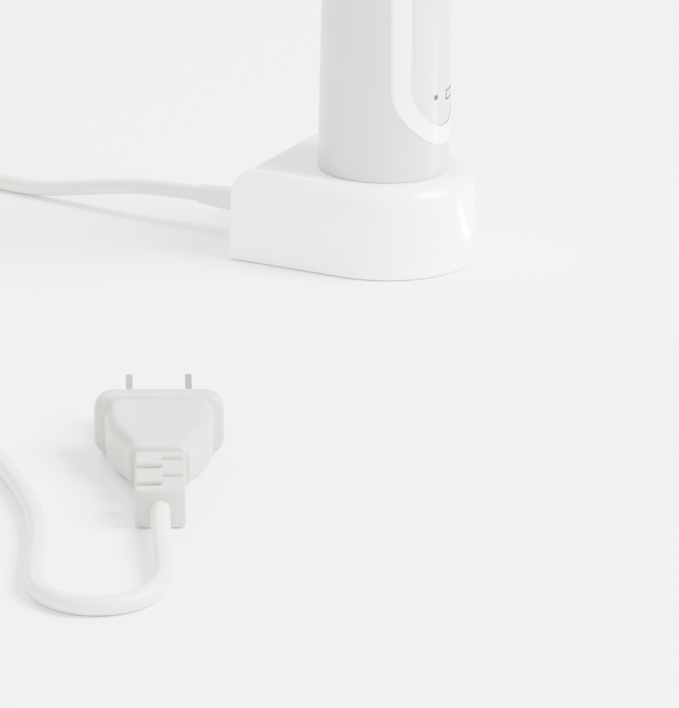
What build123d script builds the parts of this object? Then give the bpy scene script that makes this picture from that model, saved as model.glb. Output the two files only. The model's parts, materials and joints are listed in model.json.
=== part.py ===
from build123d import *
from math import cos, pi, radians, sin, tan
import os

# Electric toothbrush standing on its charger, with the charger's cord and plug. Millimetres, +Z up.
# The origin is on the floor, at the middle of the charger's footprint. The toothbrush's buttons and
# bristles face -Y, the charger's flat back and its cord are at +Y.

os.makedirs("parts", exist_ok=True)

# ---- driving dimensions ----
# Charger
charger_half_width = 22.6
charger_half_depth = 27.1
axis_y = -3.9  # the toothbrush's own axis
front_reach = charger_half_depth + axis_y
shell_bottom = 0.5
shell_top = 22.9
shell_wall = 2.2
shell_draft = 1.2  # degrees
shell_edge_radius = 5.0
spigot_radius = 4.4
spigot_top = 34.0
foot_radius = 3.5
exit_height = 8.0
# Handle
handle_base = 23.1
handle_height = 184.0
handle_wall = 2.2
base_radius = 16.2
grip_end = (15.0, 120.0)  # radius and height above the handle's base
shoulder_end = (11.6, 172.0)
neck_end = (8.3, handle_height)
panel_half_width = 13.7
panel_low = 7.8
panel_high = 140.0
panel_end = 14.5
inlay_half_width = 10.9
inlay_low = 12.4
inlay_high = 135.4
inlay_end = 10.9
pocket_depth = 1.15
frame_proud = 0.35
panel_gap = 0.15
fit_gap = 0.05
button_proud = 1.0
button_travel = 0.5
power_height = 116.0
power_radius = 5.6
mode_height = 97.0
mode_radius = 4.4
plunger_radius = 1.9
plunger_tip = 11.6  # distance in front of the handle's axis
lens_radius = 0.7
charge_lens_height = 20.0
charge_lens_side = -3.85
indicator_heights = [54 + 7 * i for i in range(5)]
lens_window = 2.6
carrier_half_width = 12.0
# Drive
shaft_radius = 1.9
shaft_low = 80.0
shaft_high = 199.0
running_clearance = 0.05
bush_radius = 4.0
# Brush head
head_base = handle_base + handle_height + 0.9
paddle_width = 11.6
paddle_length = 26.0
paddle_thickness = 4.2
paddle_front = 1.6  # distance in front of the handle's axis
tuft_radius = 0.85
tuft_length = 10.0
tuft_set = 1.0
# Cord and plug
cord_radius = 2.0
relief_end = 47.0
coil_centre = (-20.0, 135.0)
coil_middle_radius = 22.0
coil_turns_high = 2
plug_angle = 29.0
plug_rise = 3.6  # degrees: it lies on its flange and its tail
plug_tail = (-184.0, -42.0, 4.4)
plug_relief_length = 19.0
plug_front = 44.7
blade_pitch = 12.7
blade_width = 6.35
blade_thickness = 1.5
blade_length = 16.5


def finish(builder, name):
    """Label one finished piece and write its file."""
    builder.part.label = name
    export_step(builder.part, f"parts/{name}.step")


def charger_outline(inset):
    """The charger's plan: flat back, straight sides and a half oval front."""
    half = charger_half_width - inset
    rear = charger_half_depth - inset
    with BuildSketch() as outline:
        with BuildLine():
            Polyline((half, axis_y), (half, rear), (-half, rear), (-half, axis_y))
            EllipticalCenterArc((0, axis_y), half, front_reach - inset, start_angle=180, arc_size=180)
        make_face()
    return outline.sketch


def handle_side(offset):
    """One side of the handle's outline, moved out by an offset: a straight grip, a shoulder and a neck."""
    grip = Line((base_radius + offset, 0), (grip_end[0] + offset, grip_end[1]))
    shoulder = TangentArc(grip @ 1, (shoulder_end[0] + offset, shoulder_end[1]), tangent=grip % 1)
    return TangentArc(shoulder @ 1, (neck_end[0] + offset, neck_end[1]), tangent=shoulder % 1)


def handle_skin(outer, inner):
    """A layer that follows the handle's outer form, between two offsets from it."""
    with BuildPart() as skin:
        with BuildSketch(Plane.XZ):
            with BuildLine():
                outer_neck = handle_side(outer)
                inner_neck = handle_side(inner)
                Line((base_radius + outer, 0), (base_radius + inner, 0))
                Line(outer_neck @ 1, inner_neck @ 1)
            make_face()
        revolve(axis=Axis.Z)
    return Pos(0, axis_y, handle_base) * skin.part


def panel_prism(half, end, low, high):
    """A bar with half oval ends, from the handle's axis out through its front."""
    with BuildPart() as prism:
        with BuildSketch(Plane.XZ):
            with BuildLine():
                Line((half, low + end), (half, high - end))
                EllipticalCenterArc((0, high - end), half, end, start_angle=0, arc_size=180)
                Line((-half, high - end), (-half, low + end))
                EllipticalCenterArc((0, low + end), half, end, start_angle=180, arc_size=180)
            make_face()
        extrude(amount=30)
    return Pos(0, axis_y, handle_base) * prism.part


def front_rod(radius, height, near, far, side=0.0):
    """A rod along Y in front of the handle's axis, between two distances from it."""
    with BuildPart() as rod:
        with BuildSketch(Plane.XZ.offset(near - axis_y)):
            with Locations((side, handle_base + height)):
                Circle(radius)
        extrude(amount=far - near)
    return rod.part


def level(height):
    """A horizontal plane on the toothbrush's axis, at a height above the handle's base."""
    return Plane((0, axis_y, handle_base + height))


# ---- charger ----
with BuildPart() as charger_shell:
    with BuildSketch(Plane.XY.offset(shell_bottom)):
        add(charger_outline(0))
    extrude(amount=shell_top - shell_bottom, taper=shell_draft)
    fillet(charger_shell.faces().sort_by(Axis.Z)[-1].edges(), shell_edge_radius)
    with BuildSketch(Plane((0, axis_y, shell_top - 1))):
        Circle(spigot_radius)
    extrude(amount=spigot_top - shell_top + 1)
    fillet(charger_shell.faces().sort_by(Axis.Z)[-1].edges(), 1.2)
    with BuildSketch(Plane.XY.offset(shell_bottom)):
        add(charger_outline(shell_wall))
    extrude(amount=shell_top - shell_bottom - shell_wall - 0.3, mode=Mode.SUBTRACT)
    with BuildSketch(Plane((0, axis_y, shell_bottom))):
        Circle(spigot_radius - 1.2)
    extrude(amount=spigot_top - shell_bottom - 1.4, mode=Mode.SUBTRACT)
    with BuildSketch(Plane.XZ.offset(-charger_half_depth - 1)):
        with Locations((0, exit_height)):
            Circle(3.0)
    extrude(amount=shell_wall + 3, mode=Mode.SUBTRACT)
finish(charger_shell, "charger_shell")

foot_places = [(-11, -15), (11, -15), (-15, 19), (15, 19)]
with BuildPart() as charger_base:
    with BuildSketch(Plane.XY.offset(shell_bottom + 0.2)):
        add(charger_outline(shell_wall + 0.1))
    extrude(amount=2.0)
    with BuildSketch(Plane.XY.offset(shell_bottom + 0.2)):
        with Locations(*foot_places):
            Circle(foot_radius + 0.1)
    extrude(amount=0.8, mode=Mode.SUBTRACT)
finish(charger_base, "charger_base")

with BuildPart() as rubber_feet:
    with BuildSketch(Plane.XY):
        with Locations(*foot_places):
            Circle(foot_radius)
    extrude(amount=1.5)
    fillet(rubber_feet.faces().group_by(Axis.Z)[0].edges(), 0.3)
finish(rubber_feet, "rubber_feet")

with BuildPart() as ferrite_core:
    with BuildSketch(Plane((0, axis_y, 5.0))):
        Circle(2.9)
    extrude(amount=spigot_top - 1.6 - 5.0)
finish(ferrite_core, "ferrite_core")

with BuildPart() as coil_bobbin:
    with BuildSketch(Plane((0, axis_y, 6.0))):
        Circle(10)
        Circle(3.0, mode=Mode.SUBTRACT)
    extrude(amount=1.0)
    with BuildSketch(Plane((0, axis_y, 7.0))):
        Circle(4.6)
        Circle(3.0, mode=Mode.SUBTRACT)
    extrude(amount=10.0)
    with BuildSketch(Plane((0, axis_y, 17.0))):
        Circle(10)
        Circle(3.0, mode=Mode.SUBTRACT)
    extrude(amount=1.0)
finish(coil_bobbin, "coil_bobbin")

with BuildPart() as primary_coil:
    with BuildSketch(Plane((0, axis_y, 7.0 + fit_gap))):
        Circle(9.2)
        Circle(4.6 + fit_gap, mode=Mode.SUBTRACT)
    extrude(amount=10.0 - 2 * fit_gap)
finish(primary_coil, "primary_coil")

with BuildPart() as charger_board:
    with BuildSketch(Plane.XY.offset(3.0)):
        with Locations((0, 12)):
            Rectangle(30, 18)
    extrude(amount=1.2)
finish(charger_board, "charger_board")

with BuildPart() as charger_capacitors:
    with BuildSketch(Plane.XY.offset(4.2)):
        with Locations((-10, 13), (10, 13)):
            Circle(3.2)
    extrude(amount=9)
finish(charger_capacitors, "charger_capacitors")

with BuildPart() as cord_strain_relief:
    with BuildSketch(Plane.XY.offset(exit_height)):
        with BuildLine():
            Polyline(
                (0, 22.4),
                (4.2, 22.4),
                (4.2, 24.5),
                (2.9, 24.5),
                (2.9, charger_half_depth + 0.1),
                (3.7, charger_half_depth + 0.1),
                (3.6, charger_half_depth + 3),
                (cord_radius + 0.5, relief_end),
                (0, relief_end),
                (0, 22.4),
            )
        make_face()
    revolve(axis=Axis((0, 0, exit_height), (0, 1, 0)))
finish(cord_strain_relief, "cord_strain_relief")

# ---- cord: the route from the charger to the coil, the coil, and the route from it to the plug ----
lead_route = [
    (0, 47, 8),
    (0, 62, 8),
    (1, 78, 5),
    (0.4, 95, 2.1),
    (1.6, 109, 2),
    (2, 121, 2),
]
run_route = [
    (-42, 121, 2),
    (-44.5, 108, 2),
    (-52, 96.5, 2),
    (-71, 85, 2),
    (-97, 73, 2),
    (-127, 49.5, 2),
    (-155, 22, 2),
    (-177.5, -4.5, 2),
    (-191, -17, 2),
    (-203.5, -25.4, 2),
    (-215.2, -31.2, 2),
    (-226.3, -38, 2),
    (-229, -47.5, 2),
    (-224.1, -56.3, 2),
    (-214.6, -59, 2.2),
    (-204.6, -54.3, 2.8),
    (-194.5, -47.8, 3.65),
    (-184, -42, 4.4),
]


def arc_radii(points):
    """The radius at each corner: 0.45 of the shorter run over the tangent of half the turn."""
    spots = [Vector(*point) for point in points]
    runs = [after - before for before, after in zip(spots, spots[1:])]
    radii = []
    for first, second in zip(runs, runs[1:]):
        half_turn = radians(first.get_angle(second) / 2)
        radii.append(0.45 * min(first.length, second.length) / tan(half_turn))
    return radii


def cord_tube(points, name):
    """A tube along straight runs joined by arcs. Its radii, length and volume are printed."""
    radii = arc_radii(points)
    with BuildPart() as tube:
        with BuildLine() as path:
            FilletPolyline(*points, radius=radii)
        with BuildSketch(Plane(origin=path.line @ 0, z_dir=path.line % 0)):
            Circle(cord_radius)
        sweep()
    length = path.wires()[0].length
    print(name, "radii", [round(r, 1) for r in radii], "length", round(length, 1))
    print(name, "volume", round(tube.part.volume), "of", round(pi * cord_radius**2 * length))
    finish(tube, name)


cord_tube(lead_route, "cord_lead")
cord_tube(run_route, "cord_run")

coil_inner = coil_middle_radius - 2 * cord_radius
coil_outer = coil_middle_radius + 2 * cord_radius
with BuildPart() as cord_coil:
    with BuildSketch(Plane.XY):
        with Locations(coil_centre):
            Circle(coil_outer)
            Circle(coil_inner, mode=Mode.SUBTRACT)
    extrude(amount=2 * cord_radius * coil_turns_high)
finish(cord_coil, "cord_coil")

# ---- plug, along its own line from the tail to the blades ----
plug_level = cos(radians(plug_rise))
plug_forward = (
    plug_level * cos(radians(plug_angle)),
    plug_level * sin(radians(plug_angle)),
    sin(radians(plug_rise)),
)
plug_across = (sin(radians(plug_angle)), -cos(radians(plug_angle)), 0)
plug_line = Plane(origin=plug_tail, x_dir=plug_across, z_dir=plug_forward)
blade_places = [(-blade_pitch / 2, 0), (blade_pitch / 2, 0)]
body_sections = [
    (19.0, 13.0, 10.2, 3.0),
    (22.0, 13.6, 10.6, 3.0),
    (25.5, 16.2, 11.2, 3.2),
    (29.5, 20.4, 12.0, 3.4),
    (34.0, 22.5, 12.6, 3.4),
    (40.3, 22.8, 12.8, 3.4),
]  # distance from the tail, width, thickness and corner radius

with BuildPart() as plug_body:
    for distance, width, thickness, corner in body_sections:
        with BuildSketch(plug_line.offset(distance)):
            RectangleRounded(width, thickness, corner)
    loft()
    with BuildSketch(plug_line.offset(body_sections[-1][0])):
        RectangleRounded(27.4, 14.0, 4.0)
    extrude(amount=plug_front - body_sections[-1][0])
    with BuildSketch(plug_line.offset(plug_front)):
        with Locations(*blade_places):
            Rectangle(blade_thickness + fit_gap, blade_width + fit_gap)
    extrude(amount=-8 - fit_gap, mode=Mode.SUBTRACT)
finish(plug_body, "plug_body")

with BuildPart() as plug_blades:
    with BuildSketch(plug_line.offset(plug_front - 8)):
        with Locations(*blade_places):
            Rectangle(blade_thickness, blade_width)
    extrude(amount=blade_length + 8)
    chamfer(plug_blades.faces().group_by(Axis(plug_tail, plug_forward))[-1].edges(), 0.5)
finish(plug_blades, "plug_blades")

with BuildPart() as plug_strain_relief:
    with BuildSketch(plug_line.offset(0)):
        RectangleRounded(10.4, 8.6, 2.4)
    extrude(amount=plug_relief_length - fit_gap)
    for row in range(4):
        turned = 1 if row % 2 else -1
        with BuildSketch(plug_line.offset(2.6 + 4.1 * row)):
            with Locations((turned * 3.8, 0)):
                Rectangle(8.0, 9)
        extrude(amount=1.7, mode=Mode.SUBTRACT)
finish(plug_strain_relief, "plug_strain_relief")

# ---- handle: outside ----
neck_low = 176.0
neck_bore = 4.6
with BuildPart() as handle_housing:
    add(handle_skin(0, -handle_wall))
    fillet(handle_housing.faces().sort_by(Axis.Z)[-1].outer_wire().edges(), 1.2)
    with BuildSketch(level(neck_low)):
        Circle(7.4)
        Circle(neck_bore, mode=Mode.SUBTRACT)
    extrude(amount=handle_height - neck_low - 0.2)
    add(
        panel_prism(panel_half_width + fit_gap, panel_end, panel_low - fit_gap, panel_high + fit_gap),
        mode=Mode.SUBTRACT,
    )
finish(handle_housing, "handle_housing")

whole_panel = panel_prism(panel_half_width, panel_end, panel_low, panel_high)
with BuildPart() as panel_frame:
    add(handle_skin(frame_proud, -pocket_depth))
    add(whole_panel, mode=Mode.INTERSECT)
    add(panel_prism(inlay_half_width, inlay_end, inlay_low, inlay_high), mode=Mode.SUBTRACT)
finish(panel_frame, "panel_frame")

with BuildPart() as lens_holes:
    for height in indicator_heights:
        add(front_rod(lens_radius + fit_gap, height, 8, 18))
    add(front_rod(lens_radius + fit_gap, charge_lens_height, 8, 18, charge_lens_side))

with BuildPart() as button_holes:
    add(front_rod(power_radius + 0.2, power_height, 8, 18))
    add(front_rod(mode_radius + 0.2, mode_height, 8, 18))

with BuildPart() as panel_inlay:
    add(handle_skin(fit_gap, -pocket_depth))
    add(
        panel_prism(
            inlay_half_width - panel_gap,
            inlay_end - panel_gap,
            inlay_low + panel_gap,
            inlay_high - panel_gap,
        ),
        mode=Mode.INTERSECT,
    )
    add(lens_holes.part, mode=Mode.SUBTRACT)
    add(button_holes.part, mode=Mode.SUBTRACT)
finish(panel_inlay, "panel_inlay")

with BuildPart() as panel_carrier:
    add(handle_skin(-pocket_depth - fit_gap, -handle_wall))
    add(panel_prism(carrier_half_width, panel_end, panel_low + 2, panel_high - 2), mode=Mode.INTERSECT)
    add(
        panel_prism(lens_window, lens_window, indicator_heights[0] - 3, indicator_heights[-1] + 3),
        mode=Mode.SUBTRACT,
    )
    add(panel_prism(3.0, 3.0, mode_height - 3.0, power_height + 3.0), mode=Mode.SUBTRACT)
    add(front_rod(lens_radius + 0.3, charge_lens_height, 8, 18, charge_lens_side), mode=Mode.SUBTRACT)
finish(panel_carrier, "panel_carrier")

button_skin = handle_skin(button_proud, button_travel + fit_gap - pocket_depth)
for name, height, radius in (
    ("power_button", power_height, power_radius),
    ("mode_button", mode_height, mode_radius),
):
    with BuildPart() as button:
        add(front_rod(radius, height, 8, 20))
        add(button_skin, mode=Mode.INTERSECT)
        add(front_rod(plunger_radius, height, plunger_tip, 15))
    finish(button, name)

lens_skin = handle_skin(fit_gap + 0.08, -handle_wall)
with BuildPart() as indicator_lenses:
    for height in indicator_heights:
        add(front_rod(lens_radius, height, 8, 18))
    add(lens_skin, mode=Mode.INTERSECT)
finish(indicator_lenses, "indicator_lenses")

with BuildPart() as charge_lens:
    add(front_rod(lens_radius, charge_lens_height, 8, 18, charge_lens_side))
    add(lens_skin, mode=Mode.INTERSECT)
finish(charge_lens, "charge_lens")

cap_radius = base_radius - handle_wall - 0.05
with BuildPart() as bottom_cap:
    with BuildSketch(level(0.3)):
        Circle(cap_radius)
    extrude(amount=3.1)
    with BuildSketch(level(3.4)):
        Circle(6.2)
    extrude(amount=11)
    with BuildSketch(level(0.3)):
        Circle(spigot_radius + 0.6)
    extrude(amount=12.5, mode=Mode.SUBTRACT)
    with BuildSketch(level(1.2)):
        Circle(cap_radius + 1)
        Circle(cap_radius - 1, mode=Mode.SUBTRACT)
    extrude(amount=1.3, mode=Mode.SUBTRACT)
finish(bottom_cap, "bottom_cap")

with BuildPart() as bottom_seal:
    with BuildSketch(level(1.25)):
        Circle(cap_radius + 0.02)
        Circle(cap_radius - 0.95, mode=Mode.SUBTRACT)
    extrude(amount=1.2)
finish(bottom_seal, "bottom_seal")

with BuildPart() as shaft_seal:
    with BuildSketch(level(176.4)):
        Circle(4.55)
        Circle(shaft_radius + running_clearance, mode=Mode.SUBTRACT)
    extrude(amount=handle_height - 176.4 + 0.3)
finish(shaft_seal, "shaft_seal")

# ---- handle: inside ----
chassis_radius = 10.3
chassis_walls = [
    (15, 2, 0),
    (28, 2, 7.2),
    (56, 2, 7.2),
    (69, 2, 0.9),
    (107, 5, 4.02),
    (142, 7, 4.02),
]  # height above the handle's base, thickness and hole radius
with BuildPart() as chassis:
    with BuildSketch(level(15)):
        Circle(chassis_radius)
        Circle(chassis_radius - 1, mode=Mode.SUBTRACT)
    extrude(amount=134)
    for low, thickness, hole in chassis_walls:
        with BuildSketch(level(low)):
            Circle(chassis_radius - 0.5)
            if hole:
                Circle(hole, mode=Mode.SUBTRACT)
        extrude(amount=thickness)
    with BuildSketch(level(14)):
        with Locations((0, -13.4)):
            Rectangle(30, 10)
    extrude(amount=140, mode=Mode.SUBTRACT)
finish(chassis, "chassis")

with BuildPart() as battery_cell:
    with BuildSketch(level(18)):
        Circle(7.1)
    extrude(amount=49)
    fillet(battery_cell.edges().filter_by(GeomType.CIRCLE), 0.6)
    with BuildSketch(level(67)):
        Circle(2.6)
    extrude(amount=1)
finish(battery_cell, "battery_cell")

with BuildPart() as battery_contacts:
    for low in (17.2, 68.2):
        with BuildSketch(level(low)):
            Circle(5.5)
        extrude(amount=0.6)
finish(battery_contacts, "battery_contacts")

board_back = 8.5
with BuildPart() as control_board:
    with BuildSketch(level(16)):
        with Locations((0, -board_back - 0.5)):
            Rectangle(12, 1)
    extrude(amount=116)
finish(control_board, "control_board")

with BuildPart() as tact_switches:
    for height in (power_height, mode_height):
        with BuildSketch(level(height - 2.2)):
            with Locations((0, -board_back - 1.75)):
                Rectangle(4.4, 1.4)
        extrude(amount=4.4)
finish(tact_switches, "tact_switches")

with BuildPart() as secondary_coil:
    with BuildSketch(level(3.5)):
        Circle(9.2)
        Circle(6.3, mode=Mode.SUBTRACT)
    extrude(amount=8)
finish(secondary_coil, "secondary_coil")

with BuildPart() as motor_core:
    with BuildSketch(Plane.YZ.offset(-3)):
        with Locations((axis_y + 7.1, handle_base + 95)):
            Rectangle(1.2, 18)
        with Locations(*[(axis_y + 5.7, handle_base + height) for height in (87.5, 95, 102.5)]):
            Rectangle(1.8, 3)
    extrude(amount=6)
finish(motor_core, "motor_core")

with BuildPart() as motor_coil:
    with BuildSketch(Plane.XZ.offset(-axis_y - 6.4)):
        with Locations((0, handle_base + 95)):
            Rectangle(9.4, 11)
            Rectangle(6.2, 3.2, mode=Mode.SUBTRACT)
    extrude(amount=1.5)
finish(motor_coil, "motor_coil")

for name, low, length in (("rear_bearing", 107, 5), ("front_bearing", 142, 7)):
    with BuildPart() as bush:
        with BuildSketch(level(low)):
            Circle(bush_radius)
            Circle(shaft_radius + running_clearance, mode=Mode.SUBTRACT)
        extrude(amount=length)
    finish(bush, name)

with BuildPart() as torsion_bar:
    with BuildSketch(level(69.2)):
        Circle(0.85)
    extrude(amount=shaft_low - 69.2 - fit_gap)
finish(torsion_bar, "torsion_bar")

# ---- drive: swings about the handle's axis ----
with BuildPart() as drive_shaft:
    with BuildSketch(level(shaft_low)):
        Circle(shaft_radius)
    extrude(amount=shaft_high - shaft_low)
    with BuildSketch(level(shaft_high - 10)):
        with Locations((0, 2.4)):
            Rectangle(5, 2)
    extrude(amount=12, mode=Mode.SUBTRACT)
finish(drive_shaft, "drive_shaft")

with BuildPart() as magnet_carrier:
    with BuildSketch(level(86)):
        Rectangle(7, 5)
        Circle(shaft_radius + 0.02, mode=Mode.SUBTRACT)
    extrude(amount=18)
finish(magnet_carrier, "magnet_carrier")

with BuildPart() as magnets:
    for low in (87, 96):
        with BuildSketch(level(low)):
            with Locations((0, 3.25)):
                Rectangle(5.6, 1.4)
        extrude(amount=7)
finish(magnets, "magnets")

# ---- brush head ----
head_level = Plane((0, axis_y, head_base))
stem_profile = [(7.0, 0), (7.1, 4), (6.3, 10), (4.8, 18), (3.7, 28), (3.2, 40), (3.0, 48)]
socket_radius = 2.9
socket_depth = 16.0
with BuildPart() as head_stem:
    with BuildSketch(Plane.XZ.offset(-axis_y)):
        with BuildLine():
            side = Spline([(radius, head_base + height) for radius, height in stem_profile])
            Polyline(side @ 1, (0, head_base + 48), (0, head_base), side @ 0)
        make_face()
    revolve(axis=Axis((0, axis_y, 0), (0, 0, 1)))
    with BuildSketch(Plane.XZ.offset(paddle_front - paddle_thickness - axis_y)):
        with Locations((0, head_base + 57)):
            SlotOverall(paddle_length, paddle_width, rotation=90)
    paddle = extrude(amount=paddle_thickness)
    fillet(paddle.faces().sort_by(Axis.Y)[-1].edges(), 1.6)
    with BuildSketch(head_level):
        Circle(socket_radius)
    extrude(amount=socket_depth, mode=Mode.SUBTRACT)
    with BuildSketch(head_level.offset(1.2)):
        Circle(12)
        Circle(6.2, mode=Mode.SUBTRACT)
    extrude(amount=2.6, mode=Mode.SUBTRACT)
finish(head_stem, "head_stem")

with BuildPart() as head_ring:
    with BuildSketch(head_level.offset(1.25)):
        Circle(7.2)
        Circle(6.25, mode=Mode.SUBTRACT)
    extrude(amount=2.5)
    fillet(head_ring.faces().sort_by(Axis.X)[-1].edges(), 0.3)
finish(head_ring, "head_ring")

with BuildPart() as head_insert:
    with BuildSketch(head_level.offset(1)):
        Circle(socket_radius - 0.03)
        Circle(shaft_radius + running_clearance, mode=Mode.SUBTRACT)
    extrude(amount=14.8)
finish(head_insert, "head_insert")

tuft_rows = [46.8 + 2.9 * i for i in range(8)]
outer_tufts = []
inner_tufts = []
for index, height in enumerate(tuft_rows):
    end_row = index in (0, len(tuft_rows) - 1)
    inner_tufts += [(-1.3, height), (1.3, height)]
    if not end_row:
        outer_tufts += [(-3.9, height), (3.9, height)]
for name, places in (("outer_tufts", outer_tufts), ("inner_tufts", inner_tufts)):
    with BuildPart() as tufts:
        with BuildSketch(Plane.XZ.offset(paddle_front - tuft_set - axis_y)):
            with Locations(*[(x, head_base + height) for x, height in places]):
                Circle(tuft_radius)
        extrude(amount=tuft_length + tuft_set)
    finish(tufts, name)
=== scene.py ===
"""Electric toothbrush standing on its charger, with the charger's cord coiled and its plug laid down.

Everything is in metres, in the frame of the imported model: +Z up, the toothbrush's buttons and
bristles towards -Y, the charger's flat back and its cord at +Y.
"""

import json
import logging
import math
import random
from dataclasses import dataclass, field
from enum import Enum

import bpy
from mathutils import Matrix, Vector


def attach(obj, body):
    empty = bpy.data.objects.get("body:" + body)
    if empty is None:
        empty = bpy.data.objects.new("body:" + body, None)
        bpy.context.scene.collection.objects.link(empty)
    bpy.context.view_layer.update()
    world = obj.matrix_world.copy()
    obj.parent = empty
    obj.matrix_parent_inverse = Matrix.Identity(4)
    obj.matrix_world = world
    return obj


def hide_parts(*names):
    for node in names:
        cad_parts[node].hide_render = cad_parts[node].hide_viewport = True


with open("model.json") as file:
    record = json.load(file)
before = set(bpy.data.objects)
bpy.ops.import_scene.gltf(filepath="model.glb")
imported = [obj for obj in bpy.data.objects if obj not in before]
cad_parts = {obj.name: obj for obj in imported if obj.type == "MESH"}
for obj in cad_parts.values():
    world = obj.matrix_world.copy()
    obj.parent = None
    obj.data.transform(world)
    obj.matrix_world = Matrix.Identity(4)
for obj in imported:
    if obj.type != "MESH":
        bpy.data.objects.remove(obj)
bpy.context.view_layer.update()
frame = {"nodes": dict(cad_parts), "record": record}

MM = 0.001
AXIS_Y = -3.9 * MM
HANDLE_BASE = 23.1 * MM
HEAD_BASE = HANDLE_BASE + 184.9 * MM
GOLDEN_ANGLE = 2.399963
LOG = logging.getLogger("toothbrush")

Colour = tuple[float, float, float]
Route = list[tuple[float, float, float]]


def mesh_object(name: str, vertices: list, faces: list, smooth: bool = True) -> bpy.types.Object:
    """Make a mesh object from its corners and faces.

    Args:
        name: the object's name.
        vertices: corner positions in metres.
        faces: lists of corner numbers.
        smooth: whether the faces are shaded smooth.

    Returns:
        The new object, linked to the scene.
    """
    mesh = bpy.data.meshes.new(name)
    mesh.from_pydata(vertices, [], faces)
    mesh.polygons.foreach_set("use_smooth", [smooth] * len(mesh.polygons))
    mesh.update()
    piece = bpy.data.objects.new(name, mesh)
    bpy.context.collection.objects.link(piece)
    return piece


def settle(piece: bpy.types.Object, body: str, material: bpy.types.Material) -> None:
    """Dress a piece and let it ride on a body.

    Args:
        piece: the new object.
        body: the body that carries it.
        material: its finish.
    """
    piece.data.materials.clear()
    piece.data.materials.append(material)
    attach(piece, body)
    LOG.info("built %s on %s", piece.name, body)


# ---------------------------------------------------------------- finishes


class Texture(Enum):
    """The surface effects that the finishes share."""

    MOULDED = "moulded_skin"
    BRUSHED = "brushed_lines"
    WOUND = "wire_turns"


class EffectLibrary:
    """Builds each shared shader node group once."""

    def __init__(self) -> None:
        """Start with no groups built."""
        self.groups: dict[Texture, bpy.types.NodeTree] = {}

    def group(self, texture: Texture) -> bpy.types.NodeTree:
        """Return the node group for a texture, building it the first time."""
        if texture not in self.groups:
            self.groups[texture] = self.build(texture)
        return self.groups[texture]

    def build(self, texture: Texture) -> bpy.types.NodeTree:
        """Build one group with a colour, a roughness and a height output.

        Args:
            texture: which effect to build.

        Returns:
            The finished node group.
        """
        tree = bpy.data.node_groups.new(texture.value, "ShaderNodeTree")
        interface = tree.interface
        interface.new_socket("Colour", in_out="INPUT", socket_type="NodeSocketColor")
        interface.new_socket("Tint", in_out="INPUT", socket_type="NodeSocketColor")
        for name in ("Scale", "Rough Low", "Rough High"):
            interface.new_socket(name, in_out="INPUT", socket_type="NodeSocketFloat")
        interface.new_socket("Colour", in_out="OUTPUT", socket_type="NodeSocketColor")
        interface.new_socket("Roughness", in_out="OUTPUT", socket_type="NodeSocketFloat")
        interface.new_socket("Height", in_out="OUTPUT", socket_type="NodeSocketFloat")
        nodes, links = tree.nodes, tree.links
        source = nodes.new("NodeGroupInput")
        sink = nodes.new("NodeGroupOutput")
        place = nodes.new("ShaderNodeTexCoord").outputs["Object"]
        fine = self.pattern(tree, texture, place, source)
        broad = nodes.new("ShaderNodeTexNoise")
        broad.inputs["Scale"].default_value = 55.0
        broad.inputs["Detail"].default_value = 3.0
        links.new(place, broad.inputs["Vector"])
        blotch = nodes.new("ShaderNodeMapRange")
        blotch.inputs["From Min"].default_value = 0.35
        blotch.inputs["From Max"].default_value = 0.65
        links.new(broad.outputs["Fac"], blotch.inputs["Value"])
        both = nodes.new("ShaderNodeMath")
        both.operation = "MULTIPLY_ADD"
        both.inputs[1].default_value = 0.5
        links.new(fine, both.inputs[0])
        half = nodes.new("ShaderNodeMath")
        half.operation = "MULTIPLY"
        half.inputs[1].default_value = 0.5
        links.new(blotch.outputs["Result"], half.inputs[0])
        links.new(half.outputs[0], both.inputs[2])
        tone = nodes.new("ShaderNodeMix")
        tone.data_type = "RGBA"
        links.new(both.outputs[0], tone.inputs["Factor"])
        links.new(source.outputs["Colour"], tone.inputs[6])
        links.new(source.outputs["Tint"], tone.inputs[7])
        rough = nodes.new("ShaderNodeMix")
        links.new(both.outputs[0], rough.inputs["Factor"])
        links.new(source.outputs["Rough Low"], rough.inputs[2])
        links.new(source.outputs["Rough High"], rough.inputs[3])
        links.new(tone.outputs[2], sink.inputs["Colour"])
        links.new(rough.outputs[0], sink.inputs["Roughness"])
        links.new(fine, sink.inputs["Height"])
        return tree

    def pattern(
        self,
        tree: bpy.types.NodeTree,
        texture: Texture,
        place: bpy.types.NodeSocket,
        source: bpy.types.Node,
    ) -> bpy.types.NodeSocket:
        """Add the fine pattern of one texture.

        Args:
            tree: the group being built.
            texture: which pattern.
            place: the coordinate output.
            source: the group's input node, whose Scale sets the pattern's size.

        Returns:
            A value between 0 and 1.
        """
        nodes, links = tree.nodes, tree.links
        if texture is Texture.WOUND:
            wave = nodes.new("ShaderNodeTexWave")
            wave.bands_direction = "Z"
            wave.inputs["Distortion"].default_value = 0.4
            links.new(place, wave.inputs["Vector"])
            links.new(source.outputs["Scale"], wave.inputs["Scale"])
            return wave.outputs["Fac"]
        if texture is Texture.BRUSHED:
            stretch = nodes.new("ShaderNodeMapping")
            stretch.inputs["Scale"].default_value = (1.0, 1.0, 0.04)
            links.new(place, stretch.inputs["Vector"])
            place = stretch.outputs["Vector"]
        noise = nodes.new("ShaderNodeTexNoise")
        noise.inputs["Detail"].default_value = 2.0
        noise.inputs["Roughness"].default_value = 0.6
        links.new(place, noise.inputs["Vector"])
        links.new(source.outputs["Scale"], noise.inputs["Scale"])
        return noise.outputs["Fac"]


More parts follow.
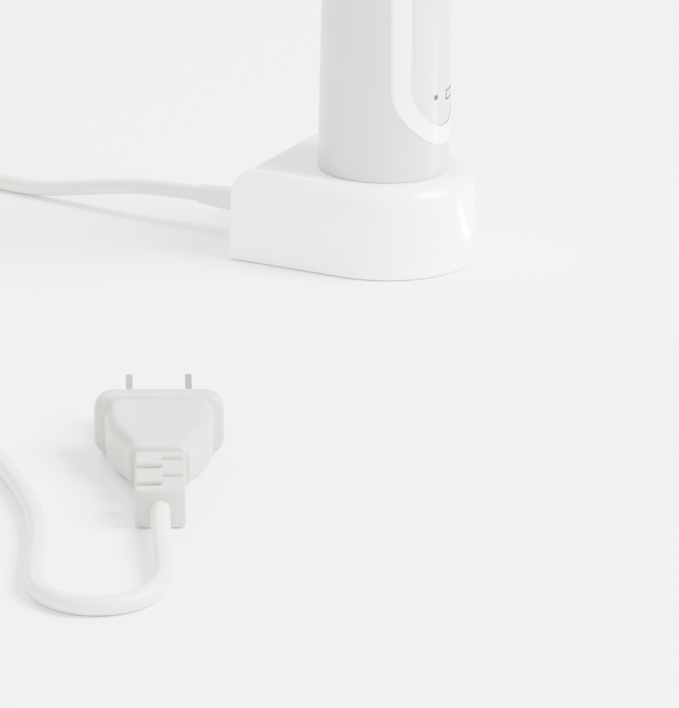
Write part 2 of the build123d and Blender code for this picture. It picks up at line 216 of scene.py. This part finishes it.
@dataclass(frozen=True)
class Finish:
    """One finish: a Principled surface fed by a shared effect."""

    name: str
    colour: Colour
    tint: Colour
    rough_low: float
    rough_high: float
    scale: float = 2600.0
    depth: float = 0.00002
    metallic: float = 0.0
    coat: float = 0.0
    coat_roughness: float = 0.08
    subsurface: float = 0.0
    specular: float = 0.5
    texture: Texture = Texture.MOULDED

    def build(self, effects: EffectLibrary) -> bpy.types.Material:
        """Build the material.

        Args:
            effects: the shared node groups.

        Returns:
            The finished material.
        """
        material = bpy.data.materials.new(self.name)
        material.use_nodes = True
        nodes, links = material.node_tree.nodes, material.node_tree.links
        surface = nodes["Principled BSDF"]
        effect = nodes.new("ShaderNodeGroup")
        effect.node_tree = effects.group(self.texture)
        effect.inputs["Colour"].default_value = (*self.colour, 1.0)
        effect.inputs["Tint"].default_value = (*self.tint, 1.0)
        effect.inputs["Scale"].default_value = self.scale
        effect.inputs["Rough Low"].default_value = self.rough_low
        effect.inputs["Rough High"].default_value = self.rough_high
        bump = nodes.new("ShaderNodeBump")
        bump.inputs["Strength"].default_value = 0.5
        bump.inputs["Distance"].default_value = self.depth
        links.new(effect.outputs["Height"], bump.inputs["Height"])
        links.new(effect.outputs["Colour"], surface.inputs["Base Color"])
        links.new(effect.outputs["Roughness"], surface.inputs["Roughness"])
        links.new(bump.outputs["Normal"], surface.inputs["Normal"])
        surface.inputs["Metallic"].default_value = self.metallic
        surface.inputs["Coat Weight"].default_value = self.coat
        surface.inputs["Coat Roughness"].default_value = self.coat_roughness
        surface.inputs["Specular IOR Level"].default_value = self.specular
        surface.inputs["Subsurface Weight"].default_value = self.subsurface
        surface.inputs["Subsurface Scale"].default_value = 0.002
        return material


FINISHES = {
    finish.name: finish
    for finish in (
        Finish(
            "charger_white", colour=(0.94, 0.94, 0.94), tint=(0.92, 0.92, 0.922),
            rough_low=0.22, rough_high=0.28, depth=0.000004, coat=0.6,
        ),
        Finish(
            "handle_silver", colour=(0.46, 0.46, 0.463), tint=(0.43, 0.43, 0.435),
            rough_low=0.36, rough_high=0.44, scale=5200, depth=0.000006, metallic=0.25, coat=0.15,
            coat_roughness=0.3,
        ),
        Finish(
            "panel_white", colour=(0.92, 0.92, 0.92), tint=(0.9, 0.9, 0.903),
            rough_low=0.18, rough_high=0.24, depth=0.000003, coat=0.7,
        ),
        Finish(
            "inlay_silver", colour=(0.5, 0.5, 0.503), tint=(0.46, 0.46, 0.465),
            rough_low=0.3, rough_high=0.38, scale=6000, depth=0.000005, metallic=0.4, coat=0.5,
            coat_roughness=0.12,
        ),
        Finish(
            "button_white", colour=(0.84, 0.84, 0.84), tint=(0.8, 0.8, 0.81),
            rough_low=0.3, rough_high=0.4, scale=3000, depth=0.000008, metallic=0, coat=0.3,
        ),
        Finish(
            "head_white", colour=(0.88, 0.88, 0.88), tint=(0.85, 0.85, 0.86),
            rough_low=0.16, rough_high=0.24, depth=0.000003, coat=0.5,
        ),
        Finish(
            "cap_white", colour=(0.8, 0.8, 0.8), tint=(0.76, 0.76, 0.76),
            rough_low=0.4, rough_high=0.5, scale=1800, depth=0.00002,
        ),
        # Plug cream is darkened well below the cord's off-white: partly the plug's own warm off-white,
        # partly painted shade for the shade the plug lies in.
        Finish(
            "plug_cream", colour=(0.45, 0.425, 0.385), tint=(0.41, 0.385, 0.34),
            rough_low=0.34, rough_high=0.46, scale=1500, depth=0.00002, metallic=0, coat=0.12,
            coat_roughness=0.3, subsurface=0.05,
        ),
        Finish(
            "cord_cream", colour=(0.7, 0.7, 0.63), tint=(0.65, 0.65, 0.57),
            rough_low=0.32, rough_high=0.46, scale=1400, depth=0.00003, metallic=0, coat=0.15,
            coat_roughness=0.25, subsurface=0.05,
        ),
        Finish(
            "blade_metal", colour=(0.3, 0.265, 0.225), tint=(0.24, 0.21, 0.175),
            rough_low=0.26, rough_high=0.42, scale=2500, depth=0.00001, metallic=1.0,
            texture=Texture.BRUSHED,
        ),
        Finish(
            "foot_rubber", colour=(0.06, 0.06, 0.062), tint=(0.04, 0.04, 0.04),
            rough_low=0.7, rough_high=0.85, scale=1500, depth=0.00004,
        ),
        Finish(
            "seal_rubber", colour=(0.62, 0.62, 0.63), tint=(0.56, 0.56, 0.57),
            rough_low=0.55, rough_high=0.7, scale=1800, depth=0.00003,
        ),
        Finish(
            "lens_grey", colour=(0.012, 0.012, 0.013), tint=(0.009, 0.009, 0.01),
            rough_low=0.3, rough_high=0.4, depth=0.000002, specular=0.15,
        ),
        # Ink grey: the colour of the printed marks, and also of the painted shade line in the gap round
        # the panel's inlay.
        Finish(
            "ink_grey", colour=(0.008, 0.008, 0.009), tint=(0.012, 0.012, 0.013),
            rough_low=0.6, rough_high=0.75, scale=4000, depth=0.000003, specular=0.05,
        ),
        Finish(
            "ring_blue", colour=(0.03, 0.12, 0.38), tint=(0.025, 0.1, 0.33),
            rough_low=0.35, rough_high=0.45, scale=2200, depth=0.00001,
        ),
        Finish(
            "tuft_white", colour=(0.86, 0.86, 0.87), tint=(0.78, 0.78, 0.8),
            rough_low=0.3, rough_high=0.45, scale=3000, depth=0.000004, subsurface=0.2,
        ),
        Finish(
            "tuft_blue", colour=(0.04, 0.16, 0.5), tint=(0.07, 0.24, 0.6),
            rough_low=0.3, rough_high=0.45, scale=3000, depth=0.000004, subsurface=0.2,
        ),
        Finish(
            "nylon_natural", colour=(0.66, 0.64, 0.57), tint=(0.6, 0.58, 0.5),
            rough_low=0.45, rough_high=0.6, scale=1500, depth=0.00003,
        ),
        Finish(
            "ferrite", colour=(0.03, 0.03, 0.032), tint=(0.05, 0.05, 0.05),
            rough_low=0.5, rough_high=0.7, scale=2600, depth=0.00004,
        ),
        Finish(
            "copper_wire", colour=(0.62, 0.24, 0.1), tint=(0.32, 0.1, 0.04),
            rough_low=0.2, rough_high=0.36, scale=1100, depth=0.00012, metallic=1.0, coat=0.3,
            texture=Texture.WOUND,
        ),
        Finish(
            "board_green", colour=(0.02, 0.12, 0.05), tint=(0.03, 0.18, 0.07),
            rough_low=0.3, rough_high=0.45, scale=700, depth=0.00003,
        ),
        Finish(
            "capacitor_sleeve", colour=(0.03, 0.035, 0.07), tint=(0.04, 0.045, 0.09),
            rough_low=0.25, rough_high=0.35,
        ),
        Finish(
            "battery_wrap", colour=(0.05, 0.2, 0.1), tint=(0.04, 0.16, 0.08),
            rough_low=0.2, rough_high=0.3, coat=0.4,
        ),
        Finish(
            "contact_metal", colour=(0.72, 0.71, 0.68), tint=(0.6, 0.59, 0.56),
            rough_low=0.22, rough_high=0.36, scale=2000, depth=0.00001, metallic=1.0,
            texture=Texture.BRUSHED,
        ),
        Finish(
            "core_steel", colour=(0.3, 0.3, 0.31), tint=(0.2, 0.2, 0.21),
            rough_low=0.3, rough_high=0.45, scale=1500, depth=0.00006, metallic=1.0,
            texture=Texture.WOUND,
        ),
        Finish(
            "bearing_bronze", colour=(0.5, 0.32, 0.14), tint=(0.42, 0.26, 0.1),
            rough_low=0.35, rough_high=0.5, scale=3000, depth=0.00003, metallic=1.0,
        ),
        Finish(
            "shaft_steel", colour=(0.62, 0.62, 0.63), tint=(0.52, 0.52, 0.53),
            rough_low=0.14, rough_high=0.28, scale=3500, depth=0.00001, metallic=1.0,
            texture=Texture.BRUSHED,
        ),
        Finish(
            "magnet_plating", colour=(0.66, 0.66, 0.68), tint=(0.6, 0.6, 0.62),
            rough_low=0.1, rough_high=0.2, metallic=1.0,
        ),
    )
}


class Workshop:
    """Hands out each finish's material, built once."""

    def __init__(self) -> None:
        """Start with an empty shelf of materials."""
        self.effects = EffectLibrary()
        self.shelf: dict[str, bpy.types.Material] = {}

    def material(self, name: str) -> bpy.types.Material:
        """Return the material of a named finish."""
        if name not in self.shelf:
            self.shelf[name] = FINISHES[name].build(self.effects)
        return self.shelf[name]

    def dress_carried_parts(self) -> None:
        """Give every part that came with the frame its finish, by its slot in the record."""
        for part in frame["record"]["subparts"]:
            node = frame["nodes"][part["node"]]
            for holder in node.material_slots:
                holder.material = self.material(part["material_slot"])
            LOG.info("dressed %s", part["node"])


# ---------------------------------------------------------------- cord and plug


@dataclass
class SupplyCord:
    """The charger's cord: straight out of the back, a put-away coil, then a loose run to the plug."""

    radius: float = 2.0 * MM
    length: float = 1.03
    coil_centre: tuple[float, float] = (-20 * MM, 135 * MM)
    coil_turns: float = 4.5
    coil_points: int = 14
    coil_outer_turn: float = 24.0
    coil_inward: float = 4.0
    inward_start: float = 0.9
    upward_start: float = 1.9
    outward_start: float = 2.9
    lead: Route = field(
        default_factory=lambda: [
            (0, 0.047, 0.008),
            (0, 0.062, 0.008),
            (0.001, 0.078, 0.005),
            (0.0004, 0.095, 0.0021),
            (0.0016, 0.109, 0.002),
            (0.0035, 0.121, 0.002),
        ]
    )
    run: Route = field(
        default_factory=lambda: [
            (-0.0439, 0.127, 0.006),
            (-0.0436, 0.117, 0.0045),
            (-0.0445, 0.106, 0.0022),
            (-0.052, 0.0965, 0.002),
            (-0.071, 0.085, 0.002),
            (-0.097, 0.073, 0.002),
            (-0.127, 0.0495, 0.002),
            (-0.155, 0.022, 0.002),
            (-0.1775, -0.0045, 0.002),
            (-0.191, -0.017, 0.002),
            (-0.2035, -0.0254, 0.002),
            (-0.2152, -0.0312, 0.002),
            (-0.2263, -0.038, 0.002),
            (-0.229, -0.0475, 0.002),
            (-0.2241, -0.0563, 0.002),
            (-0.2146, -0.059, 0.0022),
            (-0.2046, -0.0543, 0.0028),
            (-0.1945, -0.0478, 0.00365),
            (-0.184, -0.042, 0.0044),
        ]
    )

    def coil(self) -> Route:
        """Return the coil's points: turns beside and on each other, a diameter apart."""
        points = []
        total = round(self.coil_turns * self.coil_points)
        for step in range(total + 1):
            turn = step / self.coil_points
            inward = self.ease(turn, self.inward_start) - self.ease(turn, self.outward_start)
            upward = self.ease(turn, self.upward_start)
            radius = (self.coil_outer_turn - self.coil_inward * inward) * MM
            angle = 2 * math.pi * turn
            x = self.coil_centre[0] + radius * math.cos(angle)
            y = self.coil_centre[1] + radius * math.sin(angle)
            points.append((x, y, self.radius * (1 + 2 * upward)))
        return points

    @staticmethod
    def ease(turn: float, start: float) -> float:
        """Return 0 before start, 1 a quarter turn later, and a smooth step between."""
        part = min(max((turn - start) / 0.25, 0.0), 1.0)
        return part * part * (3 - 2 * part)

    def build(self, shop: Workshop, plug: list) -> bpy.types.Object:
        """Args:
            shop: the finishes.
            plug: the pieces at its far end; not used.

        Returns:
            The cord.
        """
        route = self.lead + self.coil() + self.run
        curve = bpy.data.curves.new("supply_cord", "CURVE")
        curve.dimensions = "3D"
        spline = curve.splines.new("NURBS")
        spline.points.add(len(route) - 1)
        for point, spot in zip(spline.points, route):
            point.co = (*spot, 1.0)
        spline.order_u = 3
        spline.use_endpoint_u = True
        spline.resolution_u = 8
        curve.bevel_depth = self.radius
        curve.bevel_resolution = 6
        curve.use_fill_caps = True
        cord = bpy.data.objects.new("supply_cord", curve)
        bpy.context.collection.objects.link(cord)
        settle(cord, "charger", shop.material("cord_cream"))
        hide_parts("cord_lead", "cord_coil", "cord_run")
        return cord


@dataclass
class Plug:
    """The two-blade plug: a waisted moulding, a slotted strain relief and the blades."""

    tail: tuple[float, float, float] = (-184 * MM, -42 * MM, 4.4 * MM)
    angle: float = math.radians(29.0)
    rise: float = math.radians(3.6)
    relief_length: float = 19.0
    relief_width: float = 10.4
    relief_thickness: float = 8.6
    slot_rows: int = 4
    slot_first: float = 2.6
    slot_step: float = 4.1
    slot_width: float = 1.7
    slot_inner: float = -0.2
    slot_turns: int = 6
    soft_edge: float = 0.75
    corner_steps: int = 6
    sections: tuple = (
        (19.0, 11.6, 9.4, 2.6),
        (19.25, 12.6, 9.9, 3.0),
        (19.8, 13.0, 10.2, 3.0),
        (21.4, 13.2, 10.4, 3.0),
        (22.0, 13.4, 10.5, 3.0),
        (23.5, 14.3, 10.8, 3.1),
        (25.5, 16.4, 11.2, 3.2),
        (27.5, 18.8, 11.6, 3.3),
        (29.5, 20.6, 12.0, 3.4),
        (32.0, 21.8, 12.4, 3.4),
        (35.0, 22.4, 12.6, 3.4),
        (39.9, 22.8, 12.8, 3.4),
        (40.1, 23.2, 12.9, 3.4),
        (40.3, 26.2, 13.2, 3.6),
        (40.5, 26.9, 13.6, 3.8),
        (41.1, 27.4, 14.0, 4.0),
        (43.8, 27.4, 14.0, 4.0),
        (44.4, 27.0, 13.6, 3.8),
        (44.7, 26.2, 12.8, 3.4),
    )

    def place(self, across: float, up: float, along: float) -> Vector:
        """Return the position of a point given across, above and along the plug, in millimetres."""
        level = math.cos(self.rise)
        forward = Vector((level * math.cos(self.angle), level * math.sin(self.angle), math.sin(self.rise)))
        side = Vector((math.sin(self.angle), -math.cos(self.angle), 0))
        spot = side * across + forward.cross(side) * up + forward * along
        return Vector(self.tail) + spot * MM

    def ring(self, along: float, width: float, thickness: float, corner: float) -> list[Vector]:
        """Return the points round one rounded section of the moulding."""
        points = []
        for quarter in range(4):
            middle_x = (width / 2 - corner) * (1 if quarter in (0, 3) else -1)
            middle_y = (thickness / 2 - corner) * (1 if quarter in (0, 1) else -1)
            for step in range(self.corner_steps + 1):
                turn = math.pi / 2 * (quarter + step / self.corner_steps)
                across = middle_x + corner * math.cos(turn)
                up = middle_y + corner * math.sin(turn)
                points.append(self.place(across, up, along))
        return points

    def moulding(self) -> bpy.types.Object:
        """Loft the plug's body through its sections."""
        vertices, faces = [], []
        for section in self.sections:
            vertices += self.ring(*section)
        count = 4 * (self.corner_steps + 1)
        for row in range(len(self.sections) - 1):
            for column in range(count):
                after = (column + 1) % count
                low, high = row * count, (row + 1) * count
                faces.append((low + column, low + after, high + after, high + column))
        faces.append(tuple(reversed(range(count))))
        last = (len(self.sections) - 1) * count
        faces.append(tuple(range(last, last + count)))
        return mesh_object("plug_moulding", vertices, faces)

    def relief_outline(self) -> list[tuple[float, float]]:
        """Return the slotted outline of the strain relief, across and along."""
        half = self.relief_width / 2
        right = [(half, 0.0)]
        left = []
        for row in range(self.slot_rows):
            low = self.slot_first + self.slot_step * row
            slot = self.slot(low, half)
            if row % 2:
                right += slot
            else:
                left += [(-across, along) for across, along in slot]
        right.append((half, self.relief_length))
        left = [(-half, 0.0)] + left + [(-half, self.relief_length)]
        return right + left[::-1]

    def slot(self, low: float, half: float) -> list[tuple[float, float]]:
        """Return the outline of one slot with a round inner end, cut in from the right side."""
        wide, inner = self.slot_width, self.slot_inner
        middle = low + wide / 2
        points = [(half, low)]
        for step in range(self.slot_turns + 1):
            turn = -math.pi / 2 - math.pi * step / self.slot_turns
            points.append((inner + wide / 2 * (1 + math.cos(turn)), middle + wide / 2 * math.sin(turn)))
        points.append((half, low + wide))
        return points

    def relief(self) -> bpy.types.Object:
        """Build the strain relief: the slotted outline, thickened, with soft edges."""
        outline = self.relief_outline()
        count = len(outline)
        half = self.relief_thickness / 2
        vertices = [self.place(across, -half, along) for across, along in outline]
        vertices += [self.place(across, half, along) for across, along in outline]
        faces = [tuple(range(count)), tuple(reversed(range(count, 2 * count)))]
        for index in range(count):
            after = (index + 1) % count
            faces.append((index, index + count, after + count, after))
        piece = mesh_object("plug_relief", vertices, faces)
        soften = piece.modifiers.new("soft_edges", "BEVEL")
        soften.width = self.soft_edge * MM
        soften.segments = 4
        soften.limit_method = "ANGLE"
        soften.angle_limit = math.radians(40)
        soften.use_clamp_overlap = True
        return piece

    def build(self, shop: Workshop) -> list[bpy.types.Object]:
        """Build the plug's pieces.

        Args:
            shop: the finishes.

        Returns:
            The pieces that go with the cord.
        """
        body = self.moulding()
        # The plug's pieces take the plug finish, which carries painted shade.
        settle(body, "charger", shop.material("plug_cream"))
        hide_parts("plug_body")
        relief = self.relief()
        settle(relief, "charger", shop.material("plug_cream"))
        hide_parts("plug_strain_relief")
        return [body, relief, frame["nodes"]["plug_blades"]]


# ---------------------------------------------------------------- brush head


@dataclass
class Bristles:
    """The tufts of the brush head, each a bundle of fine filaments."""

    rows: int = 8
    row_step: float = 2.9
    first_row: float = 46.8
    tuft_radius: float = 0.85
    filaments: int = 26
    filament_radius: float = 0.11
    root: float = 1.2
    tip: float = 11.4
    inner_drop: float = 0.7
    spread: float = 0.88
    lean: float = 0.16
    uneven: float = 0.25
    sides: int = 6
    outer_columns: tuple[float, float] = (-3.9, 3.9)
    inner_columns: tuple[float, float] = (-1.3, 1.3)
    seed: int = 7

    def tufts(self, columns: tuple[float, ...], every_row: bool) -> list[tuple[float, float]]:
        """Return the places of one group of tufts, across and up the head, in millimetres."""
        places = []
        for row in range(self.rows):
            if every_row or 0 < row < self.rows - 1:
                places += [(column, self.first_row + self.row_step * row) for column in columns]
        return places

    def bundle(self, name: str, places: list[tuple[float, float]], tip: float) -> bpy.types.Object:
        """Build one group of tufts.

        Args:
            name: the object's name.
            places: where the tufts stand.
            tip: how far their tips reach in front of the handle's axis, in millimetres.

        Returns:
            The group as one object.
        """
        chance = random.Random(self.seed)
        vertices, faces = [], []
        for across, height in places:
            for index in range(self.filaments):
                spread = self.tuft_radius * self.spread * math.sqrt((index + 0.5) / self.filaments)
                turn = index * GOLDEN_ANGLE
                start = (across + spread * math.cos(turn), height + spread * math.sin(turn))
                lean = (chance.uniform(-self.lean, self.lean), chance.uniform(-self.lean, self.lean))
                reach = tip - chance.uniform(0.0, self.uneven)
                self.filament(vertices, faces, start, lean, reach)
        return mesh_object(name, vertices, faces)

    def filament(self, vertices: list, faces: list, start: tuple, lean: tuple, reach: float) -> None:
        """Add one filament: a thin rod with a rounded tip."""
        sides = self.sides
        base = len(vertices)
        stations = ((0.0, 1.0), (0.55, 1.0), (0.97, 0.9), (1.0, 0.45))
        for part, thickness in stations:
            x = start[0] + lean[0] * part
            z = start[1] + lean[1] * part
            y = self.root + (reach - self.root) * part
            for side in range(sides):
                turn = 2 * math.pi * side / sides
                radius = self.filament_radius * thickness
                spot = (x + radius * math.cos(turn), y, z + radius * math.sin(turn))
                vertices.append((spot[0] * MM, AXIS_Y - spot[1] * MM, HEAD_BASE + spot[2] * MM))
        for ring in range(len(stations) - 1):
            for side in range(sides):
                after = (side + 1) % sides
                low, high = base + ring * sides, base + (ring + 1) * sides
                faces.append((low + side, high + side, high + after, low + after))
        faces.append(tuple(base + side for side in range(sides)))
        top = base + (len(stations) - 1) * sides
        faces.append(tuple(top + side for side in reversed(range(sides))))

    def build(self, shop: Workshop) -> None:
        """Build both groups of tufts."""
        outer = self.bundle("outer_bristles", self.tufts(self.outer_columns, False), self.tip)
        settle(outer, "brush_head", shop.material("tuft_white"))
        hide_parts("outer_tufts")
        inner_tip = self.tip - self.inner_drop
        inner = self.bundle("inner_bristles", self.tufts(self.inner_columns, True), inner_tip)
        settle(inner, "brush_head", shop.material("tuft_blue"))
        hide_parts("inner_tufts")


# ---------------------------------------------------------------- front panel's print, and the painted shade round its inlay


@dataclass
class PanelPrintAndShade:
    """The marks printed on the front panel, and a dark line of painted shade in the gap round its inlay,
    as thin raised ink that follows the handle.
    """

    base_radius: float = 16.2
    taper: float = 0.01
    ink: float = 0.17
    line: float = 0.36
    bar: float = 0.6
    # Width of the dark line of painted shade that fills the gap round the inlay.
    gap_shade_width: float = 0.14
    rows: int = 5
    first_row: float = 54.0
    row_step: float = 7.0
    bar_side: float = 2.2
    bar_step: float = 0.9
    bar_half: float = 0.9
    caption_bars: int = 6
    caption_side: float = -1.2
    caption_step: float = 1.5
    caption_low: float = 43.9
    caption_high: float = 45.5
    steps: int = 6

    def on_handle(self, side: float, height: float, lift: float) -> Vector:
        """Return the position of a point beside the panel's middle line and above the handle's base."""
        radius = self.base_radius - self.taper * height + lift
        turn = side / self.base_radius
        x, y = radius * math.sin(turn), -radius * math.cos(turn)
        return Vector((x * MM, AXIS_Y + y * MM, HANDLE_BASE + height * MM))

    def stroke(self, vertices: list, faces: list, start: tuple, end: tuple, width: float) -> None:
        """Add one straight stroke of a given width between two points on the panel."""
        direction = Vector((end[0] - start[0], end[1] - start[1]))
        normal = Vector((-direction.y, direction.x)).normalized() * width / 2
        base = len(vertices)
        for step in range(self.steps + 1):
            middle = Vector(start) + direction * step / self.steps
            for sign in (-1, 1):
                for lift in (0.0, self.ink):
                    spot = middle + normal * sign
                    vertices.append(self.on_handle(spot.x, spot.y, lift))
        for step in range(self.steps):
            low = base + 4 * step
            high = low + 4
            faces.append((low + 1, high + 1, high + 3, low + 3))
            faces.append((low, low + 2, high + 2, high))
            faces.append((low, high, high + 1, low + 1))
            faces.append((low + 2, low + 3, high + 3, high + 2))
        faces.append((base, base + 1, base + 3, base + 2))
        last = base + 4 * self.steps
        faces.append((last, last + 2, last + 3, last + 1))

    def drawing(self, name: str, strokes: list, width: float, shop: Workshop) -> None:
        """Build one mark from its strokes and let it ride on the handle."""
        vertices, faces = [], []
        for start, end in strokes:
            self.stroke(vertices, faces, start, end, width)
        piece = mesh_object(name, vertices, faces, smooth=False)
        settle(piece, "handle", shop.material("ink_grey"))

    def inlay_gap_shade(self) -> list[tuple[tuple[float, float], tuple[float, float]]]:
        """Return the strokes of a dark line of painted shade that fills the gap round the panel's inlay.
        """
        half, low, high, count = 10.825, 23.3, 124.5, 24
        points = []
        for middle, first in ((high, 0.0), (low, math.pi)):
            for step in range(count + 1):
                turn = first + math.pi * step / count
                height = middle + half * math.sin(turn)
                radius = self.base_radius - self.taper * height
                side = self.base_radius * math.asin(half * math.cos(turn) / radius)
                points.append((side, height))
        return list(zip(points, points[1:] + points[:1]))

    def build(self, shop: Workshop) -> None:
        """Print the battery outline and the rows of bars, and lay a dark line of painted shade in the gap
        round the inlay.
        """
        left, right, low, high = 1.0, 7.2, 18.5, 20.7
        outline = [
            ((left, low), (right, low)),
            ((right, low), (right, high)),
            ((right, high), (left, high)),
            ((left, high), (left, low)),
            ((right + 0.5, low + 0.6), (right + 0.5, high - 0.6)),
        ]
        self.drawing("battery_mark", outline, self.line, shop)
        bars = []
        for row in range(self.rows):
            height = self.first_row + self.row_step * row
            for bar in range(row + 1):
                side = self.bar_side + self.bar_step * bar
                bars.append(((side, height - self.bar_half), (side, height + self.bar_half)))
        for step in range(self.caption_bars):
            side = self.caption_side + self.caption_step * step
            bars.append(((side, self.caption_low), (side, self.caption_high)))
        self.drawing("level_bars", bars, self.bar, shop)
        # Painted shade: a dark line laid in the gap round the inlay, where the gap's own shade falls.
        self.drawing("inlay_gap_shade", self.inlay_gap_shade(), self.gap_shade_width, shop)


# ---------------------------------------------------------------- studio


@dataclass
class Studio:
    """A pale floor, soft light and the camera."""

    azimuth: float = math.radians(-64.29)
    elevation: float = math.radians(19.56)
    roll: float = math.radians(0.86)
    distance: float = 0.8811
    aim_height: float = 0.020
    aim_right: float = -0.01008
    aim_up: float = -0.04407
    lens: float = 181.45
    lights: tuple = (
        ("key_light", (0.25, -1.15, 1.15), 0.9, 170.0),
        ("fill_light", (-1.3, 0.3, 0.9), 1.2, 14.0),
        ("back_light", (0.7, 1.0, 1.1), 1.0, 34.0),
    )
    sky_strength: float = 1.8
    strip_start: tuple[float, float, float] = (0.016, -0.032, 0.003)
    strip_end: tuple[float, float, float] = (0.124, -0.221, 0.003)
    strip_width: float = 0.007
    strip_power: float = 0.3
    floor_half: float = 6.0

    def camera(self) -> None:
        """Place the camera on its line of sight."""
        a, e = self.azimuth, self.elevation
        back = Vector((math.sin(a) * math.cos(e), -math.cos(a) * math.cos(e), math.sin(e)))
        right = Vector((math.cos(a), math.sin(a), 0))
        up = back.cross(right)
        aim = Vector((0, AXIS_Y, self.aim_height)) + right * self.aim_right + up * self.aim_up
        tilt_right = right * math.cos(self.roll) + up * math.sin(self.roll)
        tilt_up = up * math.cos(self.roll) - right * math.sin(self.roll)
        data = bpy.data.cameras.new("camera")
        data.lens = self.lens
        data.sensor_width = 36.0
        data.clip_start = 0.01
        camera = bpy.data.objects.new("camera", data)
        turn = Matrix((tilt_right, tilt_up, back)).transposed().to_4x4()
        camera.matrix_world = Matrix.Translation(aim + back * self.distance) @ turn
        bpy.context.collection.objects.link(camera)
        bpy.context.scene.camera = camera

    def area(self, name: str, spot: tuple, size: float, power: float) -> None:
        """Add one square soft light that faces the toothbrush."""
        data = bpy.data.lights.new(name, "AREA")
        data.shape = "SQUARE"
        data.size = size
        data.energy = power
        light = bpy.data.objects.new(name, data)
        light.location = spot
        aim = Vector((0, 0, 0.08)) - Vector(spot)
        light.rotation_euler = aim.to_track_quat("-Z", "Y").to_euler()
        bpy.context.collection.objects.link(light)

    def strip(self) -> None:
        """Add a narrow light just above the floor, for the slim highlights on the upright sides."""
        start, end = Vector(self.strip_start), Vector(self.strip_end)
        data = bpy.data.lights.new("strip_light", "AREA")
        data.shape = "RECTANGLE"
        data.size = self.strip_width
        data.size_y = (end - start).length
        data.energy = self.strip_power
        light = bpy.data.objects.new("strip_light", data)
        light.location = (start + end) / 2
        light.rotation_euler = (math.pi, 0, math.atan2(start.x - end.x, end.y - start.y))
        light.visible_camera = False
        bpy.context.collection.objects.link(light)

    def floor(self) -> None:
        """Lay the floor and give it a plain pale finish."""
        half = self.floor_half
        corners = [(-half, -half, 0), (half, -half, 0), (half, half, 0), (-half, half, 0)]
        ground = mesh_object("floor", corners, [(0, 1, 2, 3)], smooth=False)
        material = bpy.data.materials.new("pale_floor")
        material.use_nodes = True
        surface = material.node_tree.nodes["Principled BSDF"]
        surface.inputs["Base Color"].default_value = (0.95, 0.95, 0.952, 1.0)
        surface.inputs["Roughness"].default_value = 0.7
        ground.data.materials.append(material)

    def build(self) -> None:
        """Set up the floor, the lights, the pale surroundings and the camera."""
        self.floor()
        for light in self.lights:
            self.area(*light)
        self.strip()
        world = bpy.data.worlds.new("surroundings")
        world.use_nodes = True
        sky = world.node_tree.nodes["Background"]
        sky.inputs["Color"].default_value = (0.95, 0.96, 0.98, 1.0)
        sky.inputs["Strength"].default_value = self.sky_strength
        bpy.context.scene.world = world
        self.camera()


def main() -> None:
    """Build the studio, the cord and plug, the brush head, the print and the painted shade round the
    inlay, then dress the rest.
    """
    logging.basicConfig(level=logging.INFO, format="%(name)s: %(message)s")
    shop = Workshop()
    Studio().build()
    shop.dress_carried_parts()
    plug = Plug().build(shop)
    SupplyCord().build(shop, plug)
    Bristles().build(shop)
    PanelPrintAndShade().build(shop)


if __name__ == "__main__":
    main()
